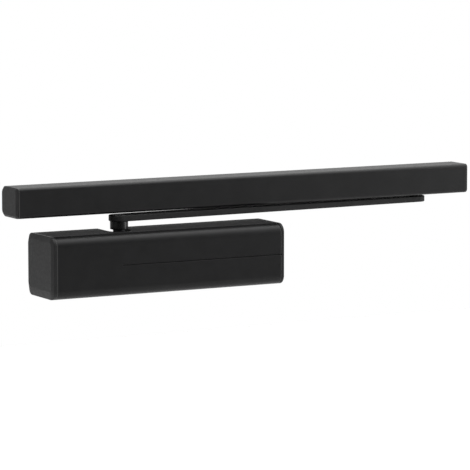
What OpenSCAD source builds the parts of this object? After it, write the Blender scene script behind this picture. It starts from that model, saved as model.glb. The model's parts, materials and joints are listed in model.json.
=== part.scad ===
// Surface door closer with a guide rail: a hydraulic body with a heart-cam spindle, one flat
// arm and a slide block that runs in a rail above the body.
//
// Frame, in millimetres: the back faces lie on the plane y = 0 and the closer stands out from
// it towards -Y. +X runs along the body and the rail, +Z is up. The origin is the centre of
// the body's four fixing holes on the mounting plane.

/* [Body] */
// Length over the two end caps
body_l = 253; // [248:1:268]
// Height of the cover
body_h = 60.4; // [60:0.2:66]
// Depth from the mounting plane to the front face
body_d = 58; // [58:1:64]
// Radius of the two long front edges
body_front_r = 9; // [4:0.5:12]
// Radius of the two long back edges
body_back_r = 6.5; // [3:0.5:7]
// Wall of the cover
cover_t = 2; // [1.5:0.1:2.5]
// Thickness of each end cap
end_cap_t = 4; // [2.5:0.5:5]

/* [Spindle and cam] */
// Distance of the spindle from the left end of the body
spindle_from_left = 84.3; // [82:0.1:87]
// Distance of the spindle and of the piston bore from the mounting plane
spindle_from_back = 29; // [28.5:0.5:30]
// Radius of the journals
journal_r = 8; // [7:0.5:8]
// Roller centre to spindle axis when the drive roller sits in the valley of the heart
pitch_min = 14; // [13.8:0.1:14.2]
// Piston travel for half a turn of the heart cam
cam_lift = 10; // [8:0.5:10]
// Radius of the cam rollers
roller_r = 5.5; // [5:0.1:5.5]

/* [Arm] */
// Thickness of the flat arm
arm_t = 5.8; // [5:0.1:6]
// Width of the flat arm
arm_w = 20.4; // [16:0.2:20.4]
// Radius of the arm's head on the spindle
arm_head_r = 10.2; // [10.2:0.1:12]
// Clear height between the body and the arm
arm_lift = 9.3; // [8:0.1:10]
// Distance of the pivot pin from the left end of the body
pivot_from_left = 427.9; // [360:0.1:429.4]

/* [Rail] */
// Length over the two rail end caps
rail_l = 508.4; // [508.4:0.2:540]
// Height of the rail
rail_h = 29.3; // [28:0.1:29.5]
// Depth of the rail
rail_d = 36; // [36:1:40]
// Clear height between the body and the rail
rail_gap = 17.2; // [17.2:0.1:19]
// How far the rail runs past the left end of the body
rail_overhang = 26.9; // [10:0.1:40]
// Thickness of each rail end cap
rail_cap_t = 1.8; // [1.5:0.1:4]

/* [Hidden] */
$fn = 96;
body_top = body_h / 2;
body_left = -body_l / 2;
inner_half_l = body_l / 2 - end_cap_t;
axis_x = body_left + spindle_from_left;
axis_y = -spindle_from_back;
seam = 0.1;        // hairline left between fitted pieces of one body
slack = 0.05;      // running clearance of round moving fits

// Cover details
inner_top = body_top - cover_t;
cover_back = -0.2;
cover_mouth = 22.5;       // half height of the open back
groove_w = 0.8;
groove_deep = 0.5;
lip_y = -body_d + body_front_r;
lip_drop = 1;             // the front shell's top lies this much below the top behind it
front_groove_x = axis_x - 11;
notch_r = 11.8;           // U-shaped spindle notch in the top of the cover
cap_rim_l = 4;
cap_rim_t = 1.5;

// Mounting plate and the housing's feet
plate_t = 4;
plate_half_l = inner_half_l - 3;
plate_half_h = 21.5;
fix_x = 113.5;            // body fixing holes, half spacing
fix_z = 13;
fix_r = 3;
foot_x = 103;             // screws that join the housing to the plate
foot_t = 6;
foot_end = 108;
foot_half_h = 20;
foot_screw_r = 2.5;
foot_head_r = 4.3;
foot_head_t = 3;

// Housing
housing_end = 98;
housing_half_h = 24.5;
housing_front = -body_d + 5;
housing_r = 7;
bore_r = 20;
piston_r = bore_r - slack;
plug_l = 12;
oring_x = housing_end - 7;  // middle of the O-rings of the two end plugs
ring_w = 3;                // width of the grooves of O-rings and piston seals
ring_deep = 2;

// Cam, rollers and forks
cam_half_t = 5;
fork_gap = 5.6;
fork_half_h = 12;
fork_nose = 5;
pin_r = 2.5;
piston_seal_x = 5;        // from the piston's pressure face to the middle of its seal ring
k_lift = cam_lift / 180;
cam_play = 0.08;
pitch_max = pitch_min + cam_lift;
drive_x = axis_x + pitch_min;
damping_x = axis_x - pitch_max;

// Spindle and its bearings
stub_r = 6;
square_w = 9;
carrier_r = 12;
carrier_bottom = 13;
carrier_top = housing_half_h - 0.1;
bearing_r = 10;
seal_bottom = 21.3;
seal_top = 23.2;

// Arm
arm_z = body_top + arm_lift;
sleeve_r = 8.85;
sleeve_z = body_top + 1.2;
pivot_x = body_left + pivot_from_left;
rail_mid_y = -rail_d / 2;
arm_len = norm([pivot_x - axis_x, rail_mid_y - axis_y]);
arm_angle = atan2(rail_mid_y - axis_y, pivot_x - axis_x);
screw_head_r = 6.5;

// Pistons, springs and spring adjuster
drive_face = 0;
spring_end = 70;
main_wire_r = 3.2;
main_mean_r = 14.5;
damping_face = -82;
return_wire_r = 0.8;
return_mean_r = 6.4;
spring_boss_r = 10;
adjuster_r = 5;
plate_boss_x = spring_end - 8;

// Regulating valves in the housing's front wall: name order closing, latching, backcheck
valve_z = 17;
valve_r = 3;
valve_l = 10;
valve_x = [-72, -88, 12];

// Rail
rail_x0 = body_left - rail_overhang;
rail_x1 = rail_x0 + rail_l;
rail_z = body_top + rail_gap;
rail_top = rail_z + rail_h;
rail_mid_z = rail_z + rail_h / 2;
rail_front_r = 3.4;
rail_back_r = 6;
rail_t = 1.8;
bracket_l = 18;
track_x0 = rail_x0 + rail_cap_t + bracket_l + 0.5;
track_x1 = rail_x1 - rail_cap_t - bracket_l - 0.5;
track_bottom = rail_z + 0.7;
channel_z0 = rail_z + 4.3;
channel_z1 = channel_z0 + 13;
channel_w = 24;
slot_w = 13;
track_front = rail_mid_y - channel_w / 2 - 1.8;
track_top = channel_z1 + 2;
bracket_back = -8;
stop_l = 3;
buffer_l = 2.5;
rail_fix_r = 2.75;
screw_access_r = 4.2;
block_l = 40;
block_w = channel_w - 0.6;
neck_r = 6;
pivot_r = 4;
block_play = 0.3;

// ---------- helpers ----------

// Rounded rectangle in the plane (y, z), with one radius at the front and one at the back
module outline(front, back, z0, z1, rf, rb) {
    translate([front + rf, z0]) square([back - rb - front - rf, z1 - z0]);
    translate([front, z0 + rf]) square([rf + 0.01, z1 - z0 - 2 * rf]);
    translate([back - rb - 0.01, z0 + rb]) square([rb + 0.01, z1 - z0 - 2 * rb]);
    for (z = [z0 + rf, z1 - rf]) translate([front + rf, z]) circle(rf);
    for (z = [z0 + rb, z1 - rb]) translate([back - rb, z]) circle(rb);
}

// Extrudes a (y, z) outline along X from x0 to x1
module along_x(x0, x1) {
    translate([x0, 0, 0]) rotate([90, 0, 90]) linear_extrude(x1 - x0) children();
}

module rod_x(x0, x1, r, y = axis_y, z = 0) {
    translate([x0, y, z]) rotate([0, 90, 0]) cylinder(h = x1 - x0, r = r);
}

module rod_y(x, y0, y1, z, r) {
    translate([x, y0, z]) rotate([-90, 0, 0]) cylinder(h = y1 - y0, r = r);
}

module rod_z(x, y, z0, z1, r) {
    translate([x, y, z0]) cylinder(h = z1 - z0, r = r);
}

module block(low, high) {
    translate(low) cube(high - low);
}

module spindle_rod(z0, z1, r) {
    rod_z(axis_x, axis_y, z0, z1, r);
}

module spindle_square(z0, z1, w) {
    translate([axis_x - w / 2, axis_y - w / 2, z0]) cube([w, w, z1 - z0]);
}

module spindle_ring(z0, z1, r_in, r_out) {
    difference() {
        spindle_rod(z0, z1, r_out);
        spindle_rod(z0 - 1, z1 + 1, r_in);
    }
}

module bore_ring(x0, x1, r_in, r_out) {
    difference() {
        rod_x(x0, x1, r_out);
        rod_x(x0 - 1, x1 + 1, r_in);
    }
}

// Round wire wound about X: one closed tube swept along the helix
module coil(x0, x1, mean_r, wire_r, turns, steps = 20, sides = 8) {
    n = round(turns * steps);
    first = x0 + wire_r;
    last = x1 - wire_r;
    points = [for (i = [0 : n]) for (j = [0 : sides - 1])
        let (turn = 360 * turns * i / n, side = 360 * j / sides,
             r = mean_r + wire_r * cos(side))
        [first + (last - first) * i / n + wire_r * sin(side),
         axis_y + r * cos(turn), r * sin(turn)]];
    walls = [for (i = [0 : n - 1]) for (j = [0 : sides - 1])
        let (a = i * sides + j, b = i * sides + (j + 1) % sides)
        each [[a, a + sides, b + sides], [a, b + sides, b]]];
    polyhedron(points, concat([[for (j = [sides - 1 : -1 : 0]) j]], walls,
                              [[for (j = [0 : sides - 1]) n * sides + j]]));
}

// ---------- body shell ----------

module body_outline(inset) {
    outline(-body_d + inset, cover_back - inset, -body_top + inset, body_top - inset,
            body_front_r - inset, body_back_r - inset);
}

// Section of the cover: the front shell's top edge lies a step below the top behind it
module cover_outline(inset) {
    intersection() {
        body_outline(inset);
        translate([lip_y, -body_h]) square([body_d, 2 * body_h]);
    }
    intersection() {
        outline(-body_d + inset, cover_back - inset, -body_top + inset,
                body_top - lip_drop - inset, body_front_r - inset, body_back_r - inset);
        translate([-body_d, -body_h]) square([body_front_r + 0.01, 2 * body_h]);
    }
}

module cover() color("#2b2b2d") {
    difference() {
        along_x(-inner_half_l, inner_half_l) difference() {
            cover_outline(0);
            cover_outline(cover_t);
            translate([-cover_t * 2, -cover_mouth]) square([cover_t * 4, 2 * cover_mouth]);
        }
        // spindle notch, open towards the back
        rod_z(axis_x, axis_y, body_top - 2 * cover_t, body_top + 1, notch_r);
        block([axis_x - notch_r, axis_y, cover_mouth - 1], [axis_x + notch_r, 1, body_top + 1]);
        // hairline grooves: behind the lower front edge and along the front face
        block([-inner_half_l - 1, lip_y - groove_w, -body_top - 1],
              [inner_half_l + 1, lip_y, -body_top + groove_deep]);
        block([front_groove_x, -body_d - 1, -groove_w / 2],
              [inner_half_l + 1, -body_d + groove_deep, groove_w / 2]);
    }
}

// Leaf springs on the housing that grip the cover from inside
module cover_clips() color("#b8babd") {
    clip_w = 14;
    leaf_t = 0.8;
    bump = inner_top - housing_half_h - leaf_t - seam;
    for (x = [-4, 70]) for (side = [0, 1]) mirror([0, 0, side])
        translate([x, -46, housing_half_h]) {
            cube([clip_w, 34, leaf_t]);
            translate([0, 12, leaf_t - 0.01]) cube([clip_w, 10, bump + 0.01]);
        }
}

module end_cap(side) color("#3b3b3d") {
    mirror([side < 0 ? 1 : 0, 0, 0]) {
        along_x(inner_half_l + 0.02, body_l / 2) body_outline(0);
        along_x(inner_half_l - cap_rim_l, inner_half_l + 0.03) difference() {
            cover_outline(cover_t + seam);
            cover_outline(cover_t + seam + cap_rim_t);
            translate([-12, -cover_mouth - 1]) square([14, 2 * cover_mouth + 2]);
        }
    }
}

// ---------- housing ----------

module mounting_plate() color("#9a9c9f") {
    difference() {
        block([-plate_half_l, -plate_t, -plate_half_h], [plate_half_l, 0, plate_half_h]);
        for (x = [-fix_x, fix_x], z = [-fix_z, fix_z]) rod_y(x, -plate_t - 1, 1, z, fix_r);
        for (x = [-foot_x, foot_x], z = [-fix_z, fix_z])
            rod_y(x, -plate_t - 1, -0.6, z, foot_screw_r + slack);
    }
}

module plate_screws() color("#a9abae") {
    head_y = -plate_t - foot_t;
    for (x = [-foot_x, foot_x], z = [-fix_z, fix_z]) difference() {
        union() {
            rod_y(x, head_y - foot_head_t, head_y, z, foot_head_r);
            rod_y(x, head_y - 0.01, -0.7, z, foot_screw_r);
        }
        // hexagon socket
        translate([x, head_y - foot_head_t - 0.01, z]) rotate([-90, 30, 0])
            cylinder(h = 2, r = 2.3, $fn = 6);
    }
}

module housing() color("#3c3d3f") {
    difference() {
        union() {
            along_x(-housing_end, housing_end)
                outline(housing_front, -plate_t, -housing_half_h, housing_half_h, housing_r, 2);
            block([-foot_end, -plate_t - foot_t, -foot_half_h], [foot_end, -plate_t, foot_half_h]);
        }
        rod_x(-housing_end - 1, housing_end + 1, bore_r);
        spindle_rod(-housing_half_h - 1, housing_half_h + 1, carrier_r + slack);
        for (x = [-foot_x, foot_x], z = [-fix_z, fix_z])
            rod_y(x, -plate_t - foot_t - 1, 0, z, foot_screw_r + 0.2);
        for (x = valve_x)
            rod_y(x, housing_front - 1, housing_front + valve_l + 1.5, valve_z, valve_r + slack);
        // the ends are open above the feet for the end plugs
        for (side = [-1, 1]) rod_x(side * (housing_end + 6) - 6, side * (housing_end + 6) + 6,
                                   bore_r);
    }
}

module end_plug(side) {
    outer = side * housing_end;
    inner = side * (housing_end - plug_l);
    difference() {
        rod_x(min(outer, inner), max(outer, inner), bore_r - slack);
        bore_ring(side * oring_x - ring_w / 2, side * oring_x + ring_w / 2,
                  bore_r - ring_deep, bore_r + 1);
        children();
    }
}

module damping_end_plug() color("#77797c")
    end_plug(-1) translate([-housing_end - 1, axis_y, 0]) rotate([0, 90, 0])
        cylinder(h = 7, r = 6, $fn = 6);

module spring_end_plug() color("#77797c")
    end_plug(1) union() {
        rod_x(housing_end - plug_l - 1, housing_end + 1, adjuster_r + slack);
        for (y = [-13, 13]) rod_x(housing_end - 5, housing_end + 1, 2, axis_y + y);
    }

module plug_oring(side) color("#1b1b1c")
    bore_ring(side * oring_x - ring_w / 2 + 0.2, side * oring_x + ring_w / 2 - 0.2,
              bore_r - ring_deep + slack, bore_r - 0.02);

// ---------- spindle bearings ----------

module bearing_carrier() color("#2b2b2d") difference() {
    spindle_rod(carrier_bottom, carrier_top, carrier_r);
    spindle_rod(carrier_bottom - 1, seal_top + 0.2, bearing_r);
    spindle_rod(carrier_bottom, carrier_top + 1, journal_r + 0.3);
    for (turn = [0, 90]) translate([axis_x, axis_y, carrier_top]) rotate([0, 0, turn + 45])
        cube([2 * carrier_r + 2, 2.4, 2], center = true);
}

module needle_bearing() color("#c7c9cc")
    spindle_ring(carrier_bottom + 0.2, seal_bottom - 0.3, journal_r + slack, bearing_r - 0.02);

module shaft_seal() color("#1b1b1c")
    spindle_ring(seal_bottom, seal_top, journal_r + slack, bearing_r - 0.02);

// ---------- spindle and arm ----------

// Heart cam: the roller centre's distance grows by the same amount with each degree, so two
// opposite rollers keep one distance. The profile is that curve set in by the roller's radius.
function pitch(a) = pitch_min + k_lift * abs(a);
function cam_point(a, side) =
    let (r = pitch(a), slope = side * k_lift * 180 / PI, off = roller_r + cam_play,
         len = norm([r, slope]))
    [r * cos(a) - off * (r * cos(a) + slope * sin(a)) / len,
     r * sin(a) - off * (r * sin(a) - slope * cos(a)) / len];
cam_step = 5;
valley_spread = atan2(k_lift * 180 / PI, pitch_min);
cam_half = concat(
    [for (a = [0 : 0.25 : 0.99]) let (t = a * valley_spread)
        [pitch_min - (roller_r + cam_play) * cos(t), (roller_r + cam_play) * sin(t)]],
    [for (a = [0 : cam_step : 180]) let (p = cam_point(a, 1)) if (p[1] > 0.02) p]);
cam_profile = concat(cam_half,
    [for (i = [len(cam_half) - 1 : -1 : 1]) [cam_half[i][0], -cam_half[i][1]]]);

module cam_spindle() color("#a3a5a8") difference() {
    union() {
        translate([axis_x, axis_y, -cam_half_t]) linear_extrude(2 * cam_half_t)
            polygon(cam_profile);
        spindle_rod(-housing_half_h, housing_half_h, journal_r);
        spindle_rod(housing_half_h - 0.01, sleeve_z + 1, stub_r);
        spindle_square(sleeve_z + 0.99, arm_z + arm_t - 2.4, square_w);
        spindle_rod(-housing_half_h - 2, -housing_half_h + 0.01, stub_r);
    }
    spindle_rod(housing_half_h + 2, arm_z + arm_t, 3 + slack);
}

module arm_sleeve() color("#1d1d1f") difference() {
    spindle_rod(sleeve_z, arm_z - 0.02, sleeve_r);
    spindle_rod(sleeve_z - 1, sleeve_z + 1.1, stub_r + slack);
    spindle_square(sleeve_z + 0.5, arm_z + 1, square_w + 2 * slack);
}

module in_arm_frame() {
    translate([axis_x, axis_y, arm_z]) rotate([0, 0, arm_angle]) children();
}

module arm() color("#3a3a3c") difference() {
    in_arm_frame() difference() {
        linear_extrude(arm_t) {
            circle(arm_head_r);
            translate([0, -arm_w / 2]) square([arm_len, arm_w]);
            translate([arm_len, 0]) circle(arm_w / 2);
        }
        // riveted end of the pivot pin
        translate([arm_len, 0, -1]) cylinder(h = arm_t + 2, r = pivot_r + 0.02);
        translate([arm_len, 0, -1]) cylinder(h = 3, r = neck_r);
        // seat of the screw head
        translate([0, 0, arm_t - 2.2]) cylinder(h = 3, r = screw_head_r + 0.2);
    }
    spindle_square(arm_z - 1, arm_z + arm_t, square_w + 2 * slack);
}

module arm_screw() color("#161617") {
    top = arm_z + arm_t - 0.2;
    difference() {
        union() {
            spindle_rod(top - 2, top, screw_head_r);
            spindle_rod(housing_half_h + 4, top - 1.99, 3);
        }
        translate([axis_x, axis_y, top - 1.6]) cylinder(h = 3, r = 2.9, $fn = 6);
    }
}

module pivot_pin() color("#b4b6b9") difference() {
    union() {
        rod_z(pivot_x, rail_mid_y, arm_z + 0.1, arm_z + 1.95, neck_r - 0.05);
        rod_z(pivot_x, rail_mid_y, arm_z + 1.9, channel_z0 + 10, pivot_r);
    }
    translate([pivot_x, rail_mid_y, channel_z0 + 7.5]) difference() {
        cylinder(h = 1.4, r = pivot_r + 1);
        translate([0, 0, -1]) cylinder(h = 4, r = pivot_r - 0.6);
    }
}

module pin_clip() color("#8a8c8f") translate([pivot_x, rail_mid_y, channel_z0 + 7.6])
    difference() {
        cylinder(h = 1.2, r = pivot_r + 2.2);
        translate([0, 0, -1]) cylinder(h = 4, r = pivot_r - 0.55);
        translate([0, -1.5, -1]) cube([10, 3, 4]);
    }

// ---------- pistons and rollers ----------

// Fork end of a piston: a slot takes the cam and the roller. toward is the side of the fork:
// -1 for the drive piston, whose fork looks left, +1 for the damping piston
module fork_piston(roller_x, face_x, toward) {
    full = roller_x + toward * 1.5;
    nose = roller_x + toward * fork_nose;
    floor_x = roller_x - toward * (roller_r + 1);
    difference() {
        union() {
            rod_x(min(full, face_x), max(full, face_x), piston_r);
            intersection() {
                rod_x(min(nose, roller_x), max(nose, roller_x), piston_r);
                block([min(nose, roller_x) - 1, axis_y - 14, -fork_half_h],
                      [max(nose, roller_x) + 1, axis_y + 14, fork_half_h]);
            }
        }
        block([min(nose + toward, floor_x), axis_y - bore_r - 1, -fork_gap],
              [max(nose + toward, floor_x), axis_y + bore_r + 1, fork_gap]);
        rod_z(roller_x, axis_y, -bore_r, bore_r, pin_r + 0.02);
        // groove of the seal ring
        bore_ring(face_x + toward * piston_seal_x - ring_w / 2 - 0.1,
                  face_x + toward * piston_seal_x + ring_w / 2 + 0.1,
                  piston_r - ring_deep, piston_r + 1);
    }
}

module piston_seal(face_x, toward) color("#202022")
    bore_ring(face_x + toward * piston_seal_x - ring_w / 2,
              face_x + toward * piston_seal_x + ring_w / 2,
              piston_r - ring_deep + slack, bore_r - 0.03);

module drive_piston() color("#94969a") difference() {
    union() {
        fork_piston(drive_x, drive_face, -1);
        rod_x(drive_face - 1, drive_face + 8, spring_boss_r);
    }
    // check valve: ball seat, ball chamber and the passage to the fork
    rod_x(drive_x + roller_r, drive_face + 9, 1.5);
    rod_x(drive_face - 9, drive_face + 9, 3.5);
}

module check_valve_ball() color("#cfd1d4")
    translate([drive_face - 6.2, axis_y, 0]) sphere(r = 2.6);

module check_valve_retainer() color("#c2a45a")
    bore_ring(drive_face + 1, drive_face + 6, 1.6, 3.48);

module damping_piston() color("#94969a") difference() {
    fork_piston(damping_x, damping_face, 1);
    rod_x(damping_face - 1, damping_face + 8, 8);
}

module roller_pin(x) color("#bdbfc2")
    rod_z(x, axis_y, -fork_half_h + 0.2, fork_half_h - 0.2, pin_r);

module roller(x) color("#d0d2d5") difference() {
    rod_z(x, axis_y, -cam_half_t, cam_half_t, roller_r);
    rod_z(x, axis_y, -cam_half_t - 1, cam_half_t + 1, pin_r + slack);
}

// ---------- springs and adjuster ----------

module main_spring() color("#6d6f72")
    coil(drive_face + 0.2, spring_end - 0.2, main_mean_r, main_wire_r, 7.5);

module return_spring() color("#8d8f92")
    coil(-housing_end + plug_l + 0.2, damping_face + 7.8, return_mean_r, return_wire_r, 5,
         16, 6);

module spring_plate() color("#85878a") difference() {
    union() {
        rod_x(spring_end, spring_end + 6, bore_r - 0.4);
        rod_x(plate_boss_x, spring_end + 1, spring_boss_r);
    }
    rod_x(plate_boss_x - 1, spring_end + 7, adjuster_r + slack);
}

module adjusting_screw() color("#b0b2b5") difference() {
    union() {
        rod_x(plate_boss_x - 10, housing_end + 0.5, adjuster_r);
        rod_x(housing_end + 0.3, housing_end + 6, 8);
    }
    translate([housing_end + 2, axis_y, 0]) rotate([0, 90, 0]) cylinder(h = 5, r = 3.4, $fn = 6);
}

module valve(i) color("#c2a45a") {
    head = housing_front + 0.6;
    difference() {
        union() {
            rod_y(valve_x[i], head, head + valve_l - 3, valve_z, valve_r);
            translate([valve_x[i], head + valve_l - 3.01, valve_z]) rotate([-90, 0, 0])
                cylinder(h = 3, r1 = valve_r, r2 = 0.8);
        }
        translate([valve_x[i], head - 0.01, valve_z]) rotate([-90, 0, 0])
            cylinder(h = 2.5, r = 1.5, $fn = 6);
    }
}

// ---------- slide block and rail ----------

module slide_block() color("#141415") difference() {
    union() {
        block([pivot_x - block_l / 2, rail_mid_y - block_w / 2, channel_z0 + block_play],
              [pivot_x + block_l / 2, rail_mid_y + block_w / 2, channel_z1 - block_play]);
        rod_z(pivot_x, rail_mid_y, arm_z + arm_t + block_play, channel_z0 + 1, neck_r);
    }
    rod_z(pivot_x, rail_mid_y, arm_z, rail_top, pivot_r + slack);
    rod_z(pivot_x, rail_mid_y, channel_z0 + 7.3, rail_top, pivot_r + 2.8);
    // lightening pockets of the moulding
    for (side = [-1, 1]) block([pivot_x + side * 13.5 - 4, rail_mid_y - 8, channel_z0 + 4],
                               [pivot_x + side * 13.5 + 4, rail_mid_y + 8, channel_z1]);
}

// The track fills the lower back of the rail's outline
module track_outline() intersection() {
    rail_outline(0);
    translate([track_front, track_bottom]) square([-track_front, track_top - track_bottom]);
}

module rail_track() color("#4a4a4d") along_x(track_x0, track_x1) difference() {
    track_outline();
    translate([rail_mid_y - channel_w / 2, channel_z0])
        square([channel_w, channel_z1 - channel_z0]);
    translate([rail_mid_y - slot_w / 2, track_bottom - 1]) square([slot_w, 10]);
    // hollow chamber of the extrusion
    translate([-4.4, channel_z0 + 2]) square([2.6, channel_z1 - channel_z0 - 2]);
}

module rail_outline(inset) {
    outline(-rail_d + inset, -inset, rail_z + inset, rail_top - inset,
            rail_front_r - inset, rail_back_r - inset);
}

module rail_cover() color("#2e2e30")
    along_x(rail_x0 + rail_cap_t, rail_x1 - rail_cap_t) difference() {
        rail_outline(0);
        rail_outline(rail_t);
        // open below and behind, where the track fills the outline
        translate([track_front - seam, rail_z - 1]) square([rail_d, rail_t + 2]);
        translate([-2 * rail_t, rail_z - 1]) square([4 * rail_t, track_top + 1.4 - rail_z]);
    }

module rail_bracket(side) color("#3c3d3f") {
    end_x = side < 0 ? rail_x0 + rail_cap_t + 0.3 : rail_x1 - rail_cap_t - 0.3;
    joint_x = side < 0 ? track_x0 - 0.1 : track_x1 + 0.1;
    x0 = min(end_x, joint_x);
    x1 = max(end_x, joint_x);
    hole_x = (x0 + x1) / 2;
    difference() {
        union() {
            along_x(x0, x1) difference() {
                track_outline();
                translate([track_front + 2.5, track_bottom + 3])
                    square([bracket_back - track_front - 2.5, rail_h]);
            }
            // tongue in the end of the channel
            translate([joint_x, rail_mid_y - channel_w / 2 + 0.3, channel_z0 + 0.3])
                mirror([side < 0 ? 0 : 1, 0, 0]) translate([-3, 0, 0])
                    cube([stop_l + 3, channel_w - 0.6, channel_z1 - channel_z0 - 0.6]);
        }
        rod_y(hole_x, bracket_back - 1, 1, rail_mid_z, rail_fix_r);
        // screwdriver access from the front
        rod_y(hole_x, -rail_d, bracket_back, rail_mid_z, screw_access_r);
    }
}

module rail_buffers() color("#191919") for (side = [0, 1])
    translate([(track_x0 + track_x1) / 2, 0, 0]) mirror([side, 0, 0]) {
        face = (track_x0 - track_x1) / 2 - 0.1 + stop_l;
        block([face + 0.02, rail_mid_y - 9, channel_z0 + 1.5],
              [face + buffer_l, rail_mid_y + 9, channel_z1 - 1.5]);
    }

module rail_end_cap(side) color("#464648") {
    x = side < 0 ? rail_x0 : rail_x1 - rail_cap_t;
    along_x(x, x + rail_cap_t) rail_outline(0);
}

// ---------- assembly ----------

housing();
mounting_plate();
plate_screws();
cover();
cover_clips();
end_cap(-1);  // end_cap_left
end_cap(1);  // end_cap_right
damping_end_plug();
plug_oring(-1);  // damping_plug_oring
spring_end_plug();
plug_oring(1);  // spring_plug_oring
bearing_carrier();  // upper_bearing_carrier
mirror([0, 0, 1]) bearing_carrier();  // lower_bearing_carrier
needle_bearing();  // upper_needle_bearing
mirror([0, 0, 1]) needle_bearing();  // lower_needle_bearing
shaft_seal();  // upper_shaft_seal
mirror([0, 0, 1]) shaft_seal();  // lower_shaft_seal
cam_spindle();
arm_sleeve();
arm();
arm_screw();
pivot_pin();
pin_clip();
drive_piston();
piston_seal(drive_face, -1);  // drive_piston_seal
roller_pin(drive_x);  // drive_roller_pin
roller(drive_x);  // drive_roller
check_valve_ball();
check_valve_retainer();
damping_piston();
piston_seal(damping_face, 1);  // damping_piston_seal
roller_pin(damping_x);  // damping_roller_pin
roller(damping_x);  // damping_roller
main_spring();
return_spring();
spring_plate();
adjusting_screw();
valve(0);  // closing_speed_valve
valve(1);  // latching_speed_valve
valve(2);  // backcheck_valve
slide_block();
rail_track();
rail_cover();
rail_bracket(-1);  // rail_bracket_left
rail_bracket(1);  // rail_bracket_right
rail_buffers();
rail_end_cap(-1);  // rail_end_cap_left
rail_end_cap(1);  // rail_end_cap_right
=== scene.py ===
"""Looks of the door closer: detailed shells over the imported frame, procedural materials and a
plain white studio. Lengths in the tables below are millimetres in the row frame; meshes are
metres."""

import json
import math

import bmesh
import bpy
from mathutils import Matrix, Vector

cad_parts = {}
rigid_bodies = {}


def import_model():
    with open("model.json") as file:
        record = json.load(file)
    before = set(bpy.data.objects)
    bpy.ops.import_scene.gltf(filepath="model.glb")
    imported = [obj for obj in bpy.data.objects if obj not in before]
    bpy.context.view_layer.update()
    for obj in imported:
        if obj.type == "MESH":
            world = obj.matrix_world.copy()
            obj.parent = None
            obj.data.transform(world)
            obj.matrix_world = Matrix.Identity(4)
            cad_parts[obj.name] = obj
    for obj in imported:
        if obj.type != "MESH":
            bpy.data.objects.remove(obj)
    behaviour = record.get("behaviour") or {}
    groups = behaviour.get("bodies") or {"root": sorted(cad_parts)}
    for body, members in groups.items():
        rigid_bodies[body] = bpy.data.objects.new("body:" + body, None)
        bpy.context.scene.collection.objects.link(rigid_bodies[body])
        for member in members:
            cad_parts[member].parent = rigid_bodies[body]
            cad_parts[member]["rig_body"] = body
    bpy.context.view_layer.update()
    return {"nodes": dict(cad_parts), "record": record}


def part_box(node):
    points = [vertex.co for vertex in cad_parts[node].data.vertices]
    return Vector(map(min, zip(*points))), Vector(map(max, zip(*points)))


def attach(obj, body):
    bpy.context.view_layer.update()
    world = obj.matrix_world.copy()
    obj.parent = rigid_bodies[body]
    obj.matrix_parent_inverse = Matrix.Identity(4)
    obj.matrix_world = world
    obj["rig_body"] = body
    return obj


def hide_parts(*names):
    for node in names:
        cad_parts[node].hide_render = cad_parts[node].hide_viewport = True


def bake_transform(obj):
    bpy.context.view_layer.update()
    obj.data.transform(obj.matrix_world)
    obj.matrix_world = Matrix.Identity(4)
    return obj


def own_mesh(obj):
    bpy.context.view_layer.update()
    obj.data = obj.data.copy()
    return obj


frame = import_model()
MM = 0.001


def node_box(name):
    """Lowest and highest corner of a CAD node, in millimetres."""
    lo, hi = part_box(name)
    return lo / MM, hi / MM


# ---------- studio ----------

AZ, EL = math.radians(-28.65), math.radians(6.91)
BACK = Vector((math.sin(AZ) * math.cos(EL), -math.cos(AZ) * math.cos(EL), math.sin(EL)))
RIGHT = Vector((math.cos(AZ), math.sin(AZ), 0))
UP = BACK.cross(RIGHT)
AIM = Vector((24.25, -38, 19.85)) + RIGHT * 49.68 + UP * 2.72    # what the picture centres on
CAMERA_FAR = 3000
FOCAL = 235.15
FLOOR_Z = -0.6


def socket(node, name, value):
    node.inputs[name].default_value = value


def make_camera():
    data = bpy.data.cameras.new("camera")
    data.lens = FOCAL
    data.sensor_width = 36
    data.clip_start, data.clip_end = 0.05, 100
    cam = bpy.data.objects.new("camera", data)
    bpy.context.scene.collection.objects.link(cam)
    cam.location = (AIM + BACK * CAMERA_FAR) * MM
    cam.rotation_mode = "QUATERNION"
    cam.rotation_quaternion = (-BACK).to_track_quat("-Z", "Y")
    bpy.context.scene.camera = cam


def area_light(name, place, target, size, watts):
    data = bpy.data.lights.new(name, "AREA")
    data.shape = "RECTANGLE"
    data.size, data.size_y = size
    data.energy = watts
    lamp = bpy.data.objects.new(name, data)
    bpy.context.scene.collection.objects.link(lamp)
    lamp.location = place
    aim = Vector(target) - Vector(place)
    lamp.rotation_euler = aim.to_track_quat("-Z", "Y").to_euler()
    lamp.visible_camera = False


# Brightness of the studio at eye level by azimuth: 0 is in front, 90 to the right of the object
STUDIO = ((-180, 0.8), (-160, 0.54), (-125, 0.54), (-92, 0.58), (-66, 0.42), (-40, 0.12),
          (-8, 0.12), (22, 0.42), (48, 0.75), (75, 0.95), (115, 0.95), (150, 0.95), (180, 0.8))
CEILING = (0.55, 0.9, 2.9)     # sine of the elevation where it starts and ends, brightness


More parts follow.
